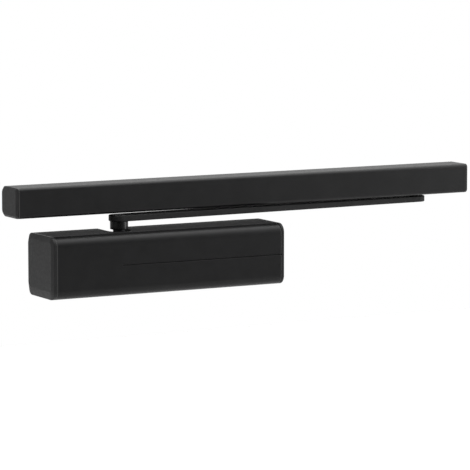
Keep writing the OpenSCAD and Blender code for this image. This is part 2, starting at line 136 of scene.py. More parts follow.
def make_world():
    """White to the camera. To the surfaces it is a studio: pale all round, a bright ceiling,
    and dim on the side where a photographer stands."""
    world = bpy.data.worlds.new("studio")
    bpy.context.scene.world = world
    world.use_nodes = True
    t = world.node_tree
    t.nodes.clear()

    def math_node(kind, first, second=None):
        node = t.nodes.new("ShaderNodeMath")
        node.operation = kind
        for i, value in enumerate((first, second)):
            if isinstance(value, (int, float)):
                node.inputs[i].default_value = value
            elif value is not None:
                t.links.new(value, node.inputs[i])
        return node.outputs[0]

    out = t.nodes.new("ShaderNodeOutputWorld")
    mix = t.nodes.new("ShaderNodeMixShader")
    path = t.nodes.new("ShaderNodeLightPath")
    white = t.nodes.new("ShaderNodeBackground")
    room = t.nodes.new("ShaderNodeBackground")
    socket(white, "Color", (1, 1, 1, 1))
    socket(white, "Strength", 1.0)
    socket(room, "Color", (1, 1, 1, 1))
    coord = t.nodes.new("ShaderNodeTexCoord")
    split = t.nodes.new("ShaderNodeSeparateXYZ")
    t.links.new(coord.outputs["Generated"], split.inputs[0])
    x, y, z = split.outputs
    turn = math_node("ARCTAN2", x, math_node("MULTIPLY", y, -1.0))
    share = math_node("ADD", math_node("DIVIDE", turn, 2 * math.pi), 0.5)
    ring = t.nodes.new("ShaderNodeValToRGB")
    stops = ring.color_ramp.elements
    while len(stops) < len(STUDIO):
        stops.new(0.5)
    for stop, (angle, level) in zip(stops, STUDIO):
        stop.position = (angle + 180) / 360
        stop.color = (level, level, level, 1)
    t.links.new(share, ring.inputs[0])
    ceiling = t.nodes.new("ShaderNodeMapRange")
    ceiling.interpolation_type = "SMOOTHSTEP"
    for name, value in zip(("From Min", "From Max", "To Max"), CEILING):
        socket(ceiling, name, value)
    t.links.new(z, ceiling.inputs["Value"])
    t.links.new(math_node("ADD", ceiling.outputs[0], ring.outputs[0]), room.inputs["Strength"])
    t.links.new(path.outputs["Is Camera Ray"], mix.inputs[0])
    t.links.new(room.outputs[0], mix.inputs[1])
    t.links.new(white.outputs[0], mix.inputs[2])
    t.links.new(mix.outputs[0], out.inputs[0])


def make_floor():
    """A plain pale floor, clear from below so that the underside can be looked at."""
    bm = bmesh.new()
    bmesh.ops.create_grid(bm, x_segments=1, y_segments=1, size=3)
    mesh = bpy.data.meshes.new("floor")
    bm.to_mesh(mesh)
    bm.free()
    floor = bpy.data.objects.new("floor", mesh)
    bpy.context.scene.collection.objects.link(floor)
    floor.location = (0, 0, FLOOR_Z)
    mat = bpy.data.materials.new("floor_paper")
    mat.use_nodes = True
    t = mat.node_tree
    t.nodes.clear()
    out = t.nodes.new("ShaderNodeOutputMaterial")
    mix = t.nodes.new("ShaderNodeMixShader")
    paper = t.nodes.new("ShaderNodeBsdfDiffuse")
    socket(paper, "Color", (0.6, 0.6, 0.6, 1))
    clear = t.nodes.new("ShaderNodeBsdfTransparent")
    side = t.nodes.new("ShaderNodeNewGeometry")
    t.links.new(side.outputs["Backfacing"], mix.inputs[0])
    t.links.new(paper.outputs[0], mix.inputs[1])
    t.links.new(clear.outputs[0], mix.inputs[2])
    t.links.new(mix.outputs[0], out.inputs[0])
    mesh.materials.append(mat)


# ---------- materials ----------


class Finish:
    """A Principled material whose colour, roughness and bump come from noise in the row frame."""

    def __init__(self, name, ior, metallic=0.0):
        self.mat = bpy.data.materials.new(name)
        self.mat.use_nodes = True
        self.t = self.mat.node_tree
        self.t.nodes.clear()
        self.out = self.t.nodes.new("ShaderNodeOutputMaterial")
        self.bsdf = self.t.nodes.new("ShaderNodeBsdfPrincipled")
        self.t.links.new(self.bsdf.outputs[0], self.out.inputs[0])
        socket(self.bsdf, "Metallic", metallic)
        socket(self.bsdf, "IOR", ior)
        self.coord = self.t.nodes.new("ShaderNodeTexCoord")
        self.height = None

    def noise(self, per_mm, stretch=(1, 1, 1), detail=2.0, kind="noise"):
        """A noise with per_mm cells in a millimetre, times stretch along each axis."""
        scale = self.t.nodes.new("ShaderNodeMapping")
        scale.inputs["Scale"].default_value = [s * per_mm / MM for s in stretch]
        self.t.links.new(self.coord.outputs["Object"], scale.inputs["Vector"])
        if kind == "voronoi":
            tex = self.t.nodes.new("ShaderNodeTexVoronoi")
            socket(tex, "Scale", 1.0)
            self.t.links.new(scale.outputs[0], tex.inputs["Vector"])
            return tex.outputs["Distance"]
        tex = self.t.nodes.new("ShaderNodeTexNoise")
        socket(tex, "Scale", 1.0)
        socket(tex, "Detail", detail)
        self.t.links.new(scale.outputs[0], tex.inputs["Vector"])
        return tex.outputs["Fac"]

    def spread(self, source, low, high, start=0.3, end=0.7):
        """Maps a noise from start..end to low..high."""
        node = self.t.nodes.new("ShaderNodeMapRange")
        for name, value in (("From Min", start), ("From Max", end), ("To Min", low),
                            ("To Max", high)):
            socket(node, name, value)
        self.t.links.new(source, node.inputs["Value"])
        return node.outputs[0]

    def colour(self, source, dark, light):
        """Base colour between two shades, by a noise."""
        ramp = self.t.nodes.new("ShaderNodeValToRGB")
        ramp.color_ramp.elements[0].position = 0.3
        ramp.color_ramp.elements[1].position = 0.7
        ramp.color_ramp.elements[0].color = (*dark, 1)
        ramp.color_ramp.elements[1].color = (*light, 1)
        self.t.links.new(source, ramp.inputs[0])
        self.t.links.new(ramp.outputs[0], self.bsdf.inputs["Base Color"])

    def paint_cut_edge_highlight(self, x0, x1, width, shade):
        """Painted highlight: turns the base colour to the paler shade within width of x0 and x1,
        where a shell is cut off, standing in for the light on its cut edge.
        """
        split = self.t.nodes.new("ShaderNodeSeparateXYZ")
        self.t.links.new(self.coord.outputs["Object"], split.inputs[0])
        mid, half = (x0 + x1) / 2, (x1 - x0) / 2
        value = split.outputs["X"]
        for kind, number in (("SUBTRACT", mid), ("ABSOLUTE", None)):
            node = self.t.nodes.new("ShaderNodeMath")
            node.operation = kind
            self.t.links.new(value, node.inputs[0])
            if number is not None:
                node.inputs[1].default_value = number
            value = node.outputs[0]
        # mask of the painted highlight band next to each cut end
        highlight_mask = self.spread(value, 0.0, 1.0, half - width, half - 0.8 * width)
        base = self.bsdf.inputs["Base Color"]
        mix = self.t.nodes.new("ShaderNodeMixRGB")
        self.t.links.new(highlight_mask, mix.inputs[0])
        self.t.links.new(base.links[0].from_socket, mix.inputs[1])
        mix.inputs[2].default_value = (*shade, 1)
        self.t.links.new(mix.outputs[0], base)

    def rough(self, source, low, high):
        """Roughness from low to high, by a noise."""
        self.t.links.new(self.spread(source, low, high), self.bsdf.inputs["Roughness"])

    def rough_zones(self, source, rough, edge_y, rise):
        """Roughness by a noise, and higher by rise behind edge_y."""
        split = self.t.nodes.new("ShaderNodeSeparateXYZ")
        self.t.links.new(self.coord.outputs["Object"], split.inputs[0])
        zone = self.t.nodes.new("ShaderNodeMapRange")
        for name, value in (("From Min", edge_y), ("From Max", edge_y + 0.5 * MM),
                            ("To Min", 0.0), ("To Max", rise)):
            socket(zone, name, value)
        self.t.links.new(split.outputs["Y"], zone.inputs["Value"])
        total = self.t.nodes.new("ShaderNodeMath")
        total.operation = "ADD"
        self.t.links.new(self.spread(source, *rough), total.inputs[0])
        self.t.links.new(zone.outputs[0], total.inputs[1])
        self.t.links.new(total.outputs[0], self.bsdf.inputs["Roughness"])

    def bump(self, source, depth_mm):
        """A bump on top of those already there."""
        node = self.t.nodes.new("ShaderNodeBump")
        socket(node, "Strength", 1.0)
        socket(node, "Distance", depth_mm * MM)
        self.t.links.new(source, node.inputs["Height"])
        if self.height is not None:
            self.t.links.new(self.height, node.inputs["Normal"])
        self.height = node.outputs[0]
        self.t.links.new(self.height, self.bsdf.inputs["Normal"])


INK = (0.0030, 0.0030, 0.0032)
INK_LIGHT = (0.0052, 0.0052, 0.0055)
INK_CAP = (0.0076, 0.0076, 0.0078)
INK_CAP_LIGHT = (0.0112, 0.0112, 0.0115)
# painted highlight: width and base colour of the lit line at the cut end of a shell
CUT_HIGHLIGHT_WIDTH, CUT_HIGHLIGHT_COLOUR = 0.9, (0.045, 0.045, 0.045)    # of the line at the cut end of a shell


def powder_coat(name, rough, ior, peel=0.004, matt_behind=None, ends=None):
    """Satin black powder coat: fine grain on a soft orange peel. matt_behind is (y, rise): behind
    that y, in metres, the roughness is higher by the rise. ends are the x of a shell's cut ends,
    where a painted highlight, a paler line in the base colour, stands for the light on the cut
    edge."""
    f = Finish(name, ior)
    f.colour(f.noise(0.05, detail=3), INK, INK_LIGHT)
    if ends is not None:
        # painted highlight along the shell's cut ends
        f.paint_cut_edge_highlight(*ends, CUT_HIGHLIGHT_WIDTH * MM, CUT_HIGHLIGHT_COLOUR)
    if matt_behind is None:
        f.rough(f.noise(0.25, detail=4), *rough)
    else:
        f.rough_zones(f.noise(0.25, detail=4), rough, *matt_behind)
    f.bump(f.noise(0.7, detail=1), peel)
    f.bump(f.noise(3.5, detail=2), peel * 0.35)
    return f.mat


def moulded(name, dark, light, rough, ior, grain=0.003):
    """Moulded plastic with a spark-eroded grain."""
    f = Finish(name, ior)
    f.colour(f.noise(0.08, detail=3), dark, light)
    f.rough(f.noise(0.4, detail=3), *rough)
    f.bump(f.noise(2.4, kind="voronoi"), grain)
    f.bump(f.noise(6.0, detail=2), grain * 0.6)
    return f.mat


def machined(name, dark, light, rough, lines=(1, 1, 1), depth=0.002, cells=1.5):
    """Turned, ground or drawn metal: fine lines along the axis with the small number."""
    f = Finish(name, 2.4, metallic=1.0)
    f.colour(f.noise(0.12, lines, detail=4), dark, light)
    f.rough(f.noise(0.5, lines, detail=4), *rough)
    f.bump(f.noise(cells, lines, detail=3), depth)
    return f.mat


def cast(name, dark, light, rough):
    """Coated die-casting: pitted skin with soft waves."""
    f = Finish(name, 1.4)
    f.colour(f.noise(0.15, detail=5), dark, light)
    f.rough(f.noise(0.8, detail=4), *rough)
    f.bump(f.noise(0.12, detail=2), 0.05)
    f.bump(f.noise(1.1, kind="voronoi"), 0.02)
    return f.mat


def rubber(name, shade):
    """Dull black rubber."""
    f = Finish(name, 1.45)
    f.colour(f.noise(0.3, detail=3), [c * 0.8 for c in shade], shade)
    f.rough(f.noise(1.0, detail=3), 0.55, 0.75)
    f.bump(f.noise(2.0, detail=3), 0.01)
    return f.mat


FRONT_R, BACK_R, WALL = 9.0, 6.5, 2.0          # of the body's shell
LIP_Y = node_box("cover")[0].y + FRONT_R       # where its front shell ends


def shell_ends(node):
    """Where a shell is cut off: its lowest and highest x, in metres."""
    lo, hi = node_box(node)
    return lo.x * MM, hi.x * MM


FINISHES = {
    # the shells of body and rail get a painted highlight at their cut ends
    "black_cover": powder_coat("black_cover", (0.36, 0.44), 1.285,
                               matt_behind=(LIP_Y * MM, 0.33), ends=shell_ends("cover")),
    "black_rail": powder_coat("black_rail", (0.37, 0.45), 1.305, ends=shell_ends("rail_cover")),
    "black_caps": moulded("black_caps", INK_CAP, INK_CAP_LIGHT, (0.42, 0.52), 1.295),
    "black_arm": powder_coat("black_arm", (0.58, 0.68), 1.36, peel=0.006),
    "dark_steel": machined("dark_steel", (0.035, 0.035, 0.037), (0.06, 0.06, 0.063),
                           (0.3, 0.45), (1, 1, 8)),
    "track_aluminium": machined("track_aluminium", (0.028, 0.028, 0.03), (0.04, 0.04, 0.042),
                                (0.35, 0.5), (0.03, 1, 1)),
    "dark_casting": cast("dark_casting", (0.016, 0.016, 0.017), (0.026, 0.026, 0.027),
                         (0.5, 0.62)),
    "zinc_steel": machined("zinc_steel", (0.30, 0.305, 0.315), (0.38, 0.384, 0.39),
                           (0.42, 0.52), cells=0.8),
    "hard_steel": machined("hard_steel", (0.36, 0.365, 0.37), (0.5, 0.5, 0.505),
                           (0.18, 0.32), (6, 0.6, 0.6), depth=0.0006),
    "spring_steel": machined("spring_steel", (0.16, 0.162, 0.168), (0.27, 0.27, 0.275),
                             (0.3, 0.45), (3, 3, 3)),
    "valve_brass": machined("valve_brass", (0.52, 0.36, 0.13), (0.66, 0.48, 0.2),
                            (0.22, 0.38), (1, 6, 1)),
    "seal_rubber": rubber("seal_rubber", (0.012, 0.012, 0.012)),
    "slide_plastic": moulded("slide_plastic", (0.003, 0.003, 0.003), (0.005, 0.005, 0.005),
                             (0.24, 0.32), 1.33, grain=0.0015),
}
SLOTS = {s["node"]: s["material_slot"] for s in frame["record"]["subparts"]}
for node_name, node_object in frame["nodes"].items():
    node_object.data.materials.clear()
    node_object.data.materials.append(FINISHES[SLOTS[node_name]])


# ---------- mesh tools ----------

ARC = 20              # segments in a quarter turn of a visible edge
ROUND = 64            # segments in a hole
SAME_POINT = 0.0005   # vertices nearer than this become one


def arc(centre, radius, start, end, steps=ARC):
    """Points of an arc in a plane, from the start to the end angle in degrees."""
    angles = [math.radians(start + (end - start) * i / steps) for i in range(steps + 1)]
    return [(centre[0] + radius * math.cos(a), centre[1] + radius * math.sin(a)) for a in angles]


def quarter(radius, steps=4):
    """A quarter round as pairs: distance from the end of a solid, inset of its side there."""
    for i in range(steps + 1):
        a = math.radians(90 * i / steps)
        yield radius * (1 - math.cos(a)), radius * (1 - math.sin(a))


def rounded_box(front, back, bottom, top, rf, rb, rf_low=None):
    """Outline in (y, z) from the lower back corner by way of the front. rf_low is the radius of
    the lower front corner where it isn't rf."""
    rl = rf if rf_low is None else rf_low
    return (arc((back - rb, bottom + rb), rb, 0, -90)
            + arc((front + rl, bottom + rl), rl, 270, 180)
            + arc((front + rf, top - rf), rf, 180, 90)
            + arc((back - rb, top - rb), rb, 90, 0))


def close_up(bm):
    """Joins equal vertices, turns the faces outwards and goes from millimetres to metres."""
    bmesh.ops.remove_doubles(bm, verts=bm.verts, dist=SAME_POINT)
    bmesh.ops.recalc_face_normals(bm, faces=bm.faces)
    bmesh.ops.scale(bm, vec=(MM, MM, MM), verts=bm.verts)


def finish_mesh(bm, name, node, sharp=32):
    """Turns a bmesh in millimetres into a piece that rides with the CAD node it stands for.
    Edges of more than sharp degrees stay sharp in the shading."""
    close_up(bm)
    mesh = bpy.data.meshes.new(name)
    bm.to_mesh(mesh)
    bm.free()
    piece = bpy.data.objects.new(name, mesh)
    bpy.context.scene.collection.objects.link(piece)
    mesh.materials.append(FINISHES[SLOTS[node]])
    soften(piece, sharp)
    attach(piece, frame["nodes"][node]["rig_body"])
    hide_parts(node)
    return piece


def soften(piece, sharp):
    """Smooth shading but for edges of more than sharp degrees."""
    piece.data.polygons.foreach_set("use_smooth", [True] * len(piece.data.polygons))
    piece.data.set_sharp_from_angle(angle=math.radians(sharp))


def skin(bm, loops):
    """Joins neighbouring loops of vertices with faces."""
    for a, b in zip(loops, loops[1:]):
        for i in range(len(a)):
            j = (i + 1) % len(a)
            bm.faces.new((a[i], a[j], b[j], b[i]))


def skin_solid(bm, loops):
    """The same with a face over the first loop and one over the last."""
    skin(bm, loops)
    bm.faces.new(list(reversed(loops[0])))
    bm.faces.new(loops[-1])


def sweep(bm, rings, closed=True):
    """Skins a list of (x, [(y, z), ...]) rings, all with the same number of points. Where it
    isn't closed, the last ring lies on the first."""
    loops = [[bm.verts.new((x, y, z)) for y, z in points] for x, points in rings]
    skin(bm, loops)
    if closed:
        bm.faces.new(loops[0])
        bm.faces.new(list(reversed(loops[-1])))


def lathe(bm, centre, profile, steps=96, axis="z"):
    """Turns a closed (radius, height) profile round an axis through centre, along z or y."""
    loops = []
    for i in range(steps):
        a = 2 * math.pi * i / steps
        ring = []
        for r, h in profile:
            u, v = r * math.cos(a), r * math.sin(a)
            p = (u, v, h) if axis == "z" else (u, h, v)
            ring.append(bm.verts.new(Vector(centre) + Vector(p)))
        loops.append(ring)
    n = len(profile)
    on_axis = [r == 0 for r, _ in profile]
    for i in range(steps):
        a, b = loops[i], loops[(i + 1) % steps]
        for k in range(n):
            m = (k + 1) % n
            if on_axis[k] and on_axis[m]:
                continue
            if on_axis[k]:
                bm.faces.new((a[k], a[m], b[m]))
            elif on_axis[m]:
                bm.faces.new((a[k], a[m], b[k]))
            else:
                bm.faces.new((a[k], a[m], b[m], b[k]))


def prism(bm, points, low, high, axis="z"):
    """A straight prism over a closed outline. axis z: (x, y); y: (x, z)."""
    def place(u, v, h):
        return (u, v, h) if axis == "z" else (u, h, v)
    skin_solid(bm, [[bm.verts.new(place(u, v, h)) for u, v in points] for h in (low, high)])


def cut(piece, cutters, sharp=32):
    """Subtracts bmeshes in millimetres from a piece, exactly, keeps the result and splits its
    many-sided faces, so that the export makes no slivers of them."""
    for bm in cutters:
        close_up(bm)
        mesh = bpy.data.meshes.new("cutter")
        bm.to_mesh(mesh)
        bm.free()
        tool = bpy.data.objects.new("cutter", mesh)
        bpy.context.scene.collection.objects.link(tool)
        mod = piece.modifiers.new("cut", "BOOLEAN")
        mod.operation, mod.solver, mod.object = "DIFFERENCE", "EXACT", tool
        graph = bpy.context.evaluated_depsgraph_get()
        graph.update()
        made = bpy.data.meshes.new_from_object(piece.evaluated_get(graph))
        piece.modifiers.clear()
        old = piece.data
        made.name = old.name
        piece.data = made
        bpy.data.meshes.remove(old)
        bpy.data.objects.remove(tool)
        bpy.data.meshes.remove(mesh)
    bm = bmesh.new()
    bm.from_mesh(piece.data)
    bmesh.ops.triangulate(bm, faces=[f for f in bm.faces if len(f.verts) > 4],
                          ngon_method="EAR_CLIP")
    bmesh.ops.dissolve_degenerate(bm, dist=0.001 * MM, edges=bm.edges)
    bm.to_mesh(piece.data)
    bm.free()
    soften(piece, sharp)


def bevel(piece, width, angle):
    """A fine bevel on every edge of more than angle degrees."""
    mod = piece.modifiers.new("edges", "BEVEL")
    mod.width, mod.segments, mod.limit_method = width * MM, 2, "ANGLE"
    mod.angle_limit = math.radians(angle)
    weigh(piece)


def weigh(piece):
    """Lets the large faces set the shading, so that they look flat up to their edges."""
    mod = piece.modifiers.new("normals", "WEIGHTED_NORMAL")
    mod.keep_sharp = True
    mod.weight = 80


def hole(x, z, r, y0, y1, flare):
    """A round cutter along Y from y0, wider by flare at y1."""
    bm = bmesh.new()
    lathe(bm, (x, 0, z), [(0, y0), (r, y0), (r, y1 - flare), (r + flare, y1), (r + flare, y1 + 1),
                          (0, y1 + 1)], ROUND, "y")
    return bm


# ---------- body ----------

cover_lo, cover_hi = node_box("cover")
BODY_TOP, BODY_FRONT, BODY_BACK = cover_hi.z, cover_lo.y, cover_hi.y
CAP_T = cover_lo.x - node_box("end_cap_left")[0].x
MOUTH = 22.5          # half the height of the shell's open back
LIP_DROP = 1.0        # the top of the front shell lies this much below the top behind it
sleeve_lo, sleeve_hi = node_box("arm_sleeve")
AXIS_X = (sleeve_lo.x + sleeve_hi.x) / 2
AXIS_Y = (sleeve_lo.y + sleeve_hi.y) / 2
NOTCH_R, NOTCH_EDGE, NOTCH_DEPTH = 11.8, 0.6, 8.0    # opening round the spindle
NOTCH_BACK = 2.0                                     # y where it ends
GROOVE, GROOVE_DEEP = 0.95, 1.2                      # height and depth of the front's groove
GROOVE_X, GROOVE_RUN = AXIS_X - 11, 0.8              # where it starts, and reaches its depth
SEAM_R, CAP_SEAM_R = 0.6, 0.4    # rounding of a shell and of a cap along their seam
SEAM_GAP = 0.05
PLUG_GAP, PLUG_T, PLUG_REACH = 0.1, 1.5, 3.99    # clearance, wall and length of a cap's rim


def cover_ring(groove, inset=0.0):
    """Outline of the shell in (y, z): outside from the lower back lip, then back inside. inset
    pulls the outside in, for the rounding of its ends."""
    back, d = BODY_BACK, inset
    top, low = BODY_TOP - d, -BODY_TOP + d
    front, lip_top = BODY_FRONT + d, BODY_TOP - LIP_DROP - d
    front_c, back_c = BODY_FRONT + FRONT_R, BODY_BACK - BACK_R
    upper_c, lower_c, back_z = BODY_TOP - LIP_DROP - FRONT_R, -BODY_TOP + FRONT_R, BODY_TOP - BACK_R
    points = [(back, -MOUTH)] + arc((back_c, -back_z), BACK_R - d, 0, -90)
    points += [(LIP_Y + 1.0, low), (LIP_Y + 0.8, low + 0.25), (LIP_Y + 0.4, low + 0.35),
               (LIP_Y, low + 0.25), (LIP_Y - 0.2, low)]
    points += arc((front_c, lower_c), FRONT_R - d, 266, 180)
    h, g = GROOVE / 2, groove
    points += [(front, -h - 0.9), (front + 0.2 * g, -h - 0.4), (front + 0.55 * g, -h - 0.05),
               (front + g, -h + 0.1), (front + g, h - 0.05), (front + 0.25 * g, h),
               (front + 0.06 * g, h + 0.06), (front, h + 0.2)]
    points += arc((front_c, upper_c), FRONT_R - d, 180, 92)
    points += [(LIP_Y - 0.05, lip_top - 0.05), (LIP_Y + 0.05, lip_top - 0.25),
               (LIP_Y + 0.15, lip_top - 0.3), (LIP_Y + 0.22, lip_top - 0.2),
               (LIP_Y + 0.24, top - 0.25)]
    points += arc((LIP_Y + 0.49, top - 0.25), 0.25, 180, 90, 4)[1:]
    points += arc((back_c, back_z), BACK_R - d, 90, 0)
    points += [(back, MOUTH), (back - WALL, MOUTH)]
    inner_r, inner_b = FRONT_R - WALL, BACK_R - WALL
    points += arc((back_c, back_z), inner_b, 0, 90, 10)
    points += arc((front_c, upper_c), inner_r, 90, 180, 10)
    points += arc((front_c, lower_c), inner_r, 180, 270, 10)
    points += arc((back_c, -back_z), inner_b, 270, 360, 10)
    points += [(back - WALL, -MOUTH)]
    return points


def rounded_end(section, end, inwards):
    """Rings of a quarter round at the end of a shell: section(inset) gives its outline."""
    return [(end + inwards * x, section(d)) for x, d in quarter(SEAM_R)]


def make_cover():
    """The shell of the body with its stepped top, the groove and the notch of the spindle."""
    bm = bmesh.new()
    rings = rounded_end(lambda d: cover_ring(0.0, d), cover_lo.x, 1)
    rings += [(GROOVE_X, cover_ring(0.0)), (GROOVE_X + GROOVE_RUN, cover_ring(GROOVE_DEEP))]
    rings += reversed(rounded_end(lambda d: cover_ring(GROOVE_DEEP, d), cover_hi.x, -1))
    sweep(bm, rings)
    piece = finish_mesh(bm, "body_cover", "cover", sharp=28)
    rim = [(BODY_TOP - NOTCH_DEPTH, NOTCH_R)]
    rim += [(BODY_TOP - d, NOTCH_R + wider) for wider, d in quarter(NOTCH_EDGE)]
    rim += [(BODY_TOP + 1, NOTCH_R + NOTCH_EDGE)]
    tool = bmesh.new()
    loops = []
    for z, r in rim:
        points = arc((AXIS_X, AXIS_Y), r, 180, 360, 48)
        points += [(AXIS_X + r, NOTCH_BACK), (AXIS_X - r, NOTCH_BACK)]
        loops.append([tool.verts.new((x, y, z)) for x, y in points])
    skin(tool, loops)
    tool.faces.new(loops[0])
    tool.faces.new(list(reversed(loops[-1])))
    cut(piece, [tool], 28)
    weigh(piece)


def cap_rings(outline, thick, roll, depth, reach):
    """Sections of a cap from its seam outwards: straight side, small rolled edge, shallow bevel
    and flat face. reach is how far the bevel runs in: front, back, bottom, top."""
    turn = 74          # degrees of the rolled edge before the bevel takes over
    side = thick - depth - roll * math.sin(math.radians(turn))
    rings = [(SEAM_GAP + x, outline([d] * 4)) for x, d in quarter(CAP_SEAM_R)]
    for i in range(9):
        a = math.radians(turn * i / 8)
        rings.append((side + roll * math.sin(a), outline([roll * (1 - math.cos(a))] * 4)))
    start = roll * (1 - math.cos(math.radians(turn)))
    for share, rise in ((0.5, 0.54), (0.9, 0.93), (0.97, 0.98), (1.04, 1.0)):
        rings.append((thick - depth + depth * rise, outline([start + share * r for r in reach])))
    return rings


def make_end_cap(node, side):
    """A moulded cap of the body with the rim that plugs into the shell."""
    seam_x, thick = abs(cover_hi.x), CAP_T

    def outline(inset):
        front, back, bottom, top = inset
        return rounded_box(BODY_FRONT + front, BODY_BACK - back, -BODY_TOP + bottom, BODY_TOP - top,
                           max(FRONT_R - (front + top) / 2, 3.0), max(BACK_R - back, 2.0),
                           max(FRONT_R - (front + bottom) / 2, 3.0))

    def plug(t):
        """Outline of the rim that plugs into the shell, t inside its outer face."""
        d = WALL + PLUG_GAP + t
        return rounded_box(BODY_FRONT + d, BODY_BACK - d, -BODY_TOP + d, BODY_TOP - LIP_DROP - d,
                           FRONT_R - WALL - t, BACK_R - WALL - t)

    rings = cap_rings(outline, thick, 0.5, 1.1, (4.9, 0.8, 7.8, 4.9))
    bm = bmesh.new()
    sweep(bm, [(side * (seam_x + d), pts) for d, pts in rings])
    x0, x1 = side * (seam_x - PLUG_REACH), side * (seam_x + SEAM_GAP)
    outer, inner = plug(0.0), plug(PLUG_T)
    sweep(bm, [(x1, outer), (x0, outer), (x0, inner), (x1, inner), (x1, outer)], closed=False)
    name = "body_cap_left" if side < 0 else "body_cap_right"
    weigh(finish_mesh(bm, name, node, sharp=30))


PLATE_CORNER_R = 2.0
FIXING_X, FIXING_R = 113.5, 3.0      # holes for the screws into the door
TAP_X, TAP_R = 103.0, 2.55           # threads for the screws of the housing
PLATE_HOLES_Z = 13.0


def make_mounting_plate():
    """The plate on the door, with its fixing holes and threads."""
    lo, hi = node_box("mounting_plate")
    bm = bmesh.new()
    r = PLATE_CORNER_R
    outline = (arc((hi.x - r, hi.z - r), r, 0, 90, 8) + arc((lo.x + r, hi.z - r), r, 90, 180, 8)
               + arc((lo.x + r, lo.z + r), r, 180, 270, 8)
               + arc((hi.x - r, lo.z + r), r, 270, 360, 8))
    prism(bm, outline, lo.y, hi.y, "y")
    piece = finish_mesh(bm, "door_plate", "mounting_plate")
    cut(piece, [hole(side * x, z, r, lo.y - 1, hi.y, flare)
                for x, r, flare in ((FIXING_X, FIXING_R, 0.4), (TAP_X, TAP_R, 0.3))
                for side in (-1, 1) for z in (-PLATE_HOLES_Z, PLATE_HOLES_Z)])
    bevel(piece, 0.35, 50)


# ---------- arm ----------

arm_lo, arm_hi = node_box("arm")
ARM_Z0, ARM_Z1 = arm_lo.z, arm_hi.z
block_lo, block_hi = node_box("slide_block")
PIVOT_X, PIVOT_Y = (block_lo.x + block_hi.x) / 2, (block_lo.y + block_hi.y) / 2
HEAD_R = AXIS_X - arm_lo.x
TIP_R = arm_hi.x - PIVOT_X      # also half the width of the bar
ARM_EDGE = 0.7
SCREW_SEAT_R, SCREW_SEAT_DEEP = 6.7, 2.2
SQUARE_HALF = 4.55              # of the square hole for the spindle
RIVET_R, PIN_HOLE_R = 6.0, 4.02
PIN_R, PIN_HEAD_T = 4.0, 1.85
CLIP_GROOVE, CLIP_GROOVE_DEEP = 1.4, 0.6


def make_arm():
    """A flat bar with a round eye at each end, its edges broken, seated screw and rivet."""
    start, end = Vector((AXIS_X, AXIS_Y)), Vector((PIVOT_X, PIVOT_Y))
    along = (end - start).normalized()
    turn = math.degrees(math.atan2(along.y, along.x))
    # tangent points where the round head meets the sides of the bar
    meet = math.degrees(math.asin(min(1.0, TIP_R / HEAD_R)))
    outline = arc(start, HEAD_R, turn + meet, turn + 360 - meet, 64)
    outline += arc(end, TIP_R, turn - 90, turn + 90, 40)
    bm = bmesh.new()

    def inset(points, d):
        """The outline, moved inwards by d."""
        n = len(points)
        moved = []
        for i, p in enumerate(points):
            a, b = Vector(points[i - 1]), Vector(points[(i + 1) % n])
            t = (b - a).normalized()
            moved.append((p[0] - t.y * d, p[1] + t.x * d))
        return moved

    levels = [(ARM_Z0 + z, d) for z, d in quarter(ARM_EDGE, 5)]
    levels += [(ARM_Z0 + ARM_Z1 - z, d) for z, d in reversed(levels)]
    skin_solid(bm, [[bm.verts.new((x, y, z)) for x, y in inset(outline, d)] for z, d in levels])
    piece = finish_mesh(bm, "swing_arm", "arm")
    seat = bmesh.new()
    r, floor = SCREW_SEAT_R, ARM_Z1 - SCREW_SEAT_DEEP
    lathe(seat, (AXIS_X, AXIS_Y, 0), [(0, floor), (r, floor), (r, ARM_Z1 - 0.4), (r + 0.4, ARM_Z1),
                                      (r + 0.4, ARM_Z1 + 1), (0, ARM_Z1 + 1)])
    square = bmesh.new()
    h = SQUARE_HALF
    corners = [(AXIS_X - h, AXIS_Y - h), (AXIS_X + h, AXIS_Y - h), (AXIS_X + h, AXIS_Y + h),
               (AXIS_X - h, AXIS_Y + h)]
    prism(square, corners, ARM_Z0 - 1, ARM_Z1 + 0.5)
    rivet = bmesh.new()
    r, pin = RIVET_R, PIN_HOLE_R
    lathe(rivet, (PIVOT_X, PIVOT_Y, 0), [(0, ARM_Z0 - 1), (r + 0.3, ARM_Z0 - 1), (r + 0.3, ARM_Z0),
                                         (r, ARM_Z0 + 0.3), (r, ARM_Z0 + 2), (pin, ARM_Z0 + 2),
                                         (pin, ARM_Z1 + 1), (0, ARM_Z1 + 1)])
    cut(piece, [seat, square, rivet])
    weigh(piece)


def make_sleeve():
    """The spacer under the arm: a plain collar with broken edges, hollow round the square."""
    r = (sleeve_hi.x - sleeve_lo.x) / 2
    z0, z1 = sleeve_lo.z, sleeve_hi.z
    bm = bmesh.new()
    lathe(bm, (AXIS_X, AXIS_Y, 0), [
        (6.1, z0 + 0.2), (6.3, z0), (r - 0.6, z0), (r - 0.25, z0 + 0.12), (r, z0 + 0.5),
        (r, z1 - 0.35), (r - 0.1, z1 - 0.1), (r - 0.35, z1), (6.9, z1), (6.6, z1 - 0.2),
        (6.6, z0 + 2.5), (6.1, z0 + 2.0)])
    finish_mesh(bm, "spindle_sleeve", "arm_sleeve")


def make_pivot_pin():
    """The riveted pin: domed head below, stem, ring groove and chamfered tip above."""
    lo, hi = node_box("pivot_pin")
    r_head, r = (hi.x - lo.x) / 2, PIN_R
    groove, r_groove = hi.z - 2.5, PIN_R - CLIP_GROOVE_DEEP
    bm = bmesh.new()
    lathe(bm, (PIVOT_X, PIVOT_Y, 0), [
        (0, lo.z), (r_head - 1.2, lo.z), (r_head - 0.4, lo.z + 0.25), (r_head, lo.z + 0.7),
        (r_head, lo.z + PIN_HEAD_T), (r, lo.z + PIN_HEAD_T), (r, groove), (r_groove, groove),
        (r_groove, groove + CLIP_GROOVE), (r, groove + CLIP_GROOVE), (r, hi.z - 0.5),
        (r - 0.5, hi.z), (0, hi.z)])
    finish_mesh(bm, "arm_pivot_pin", "pivot_pin")


# ---------- rail ----------

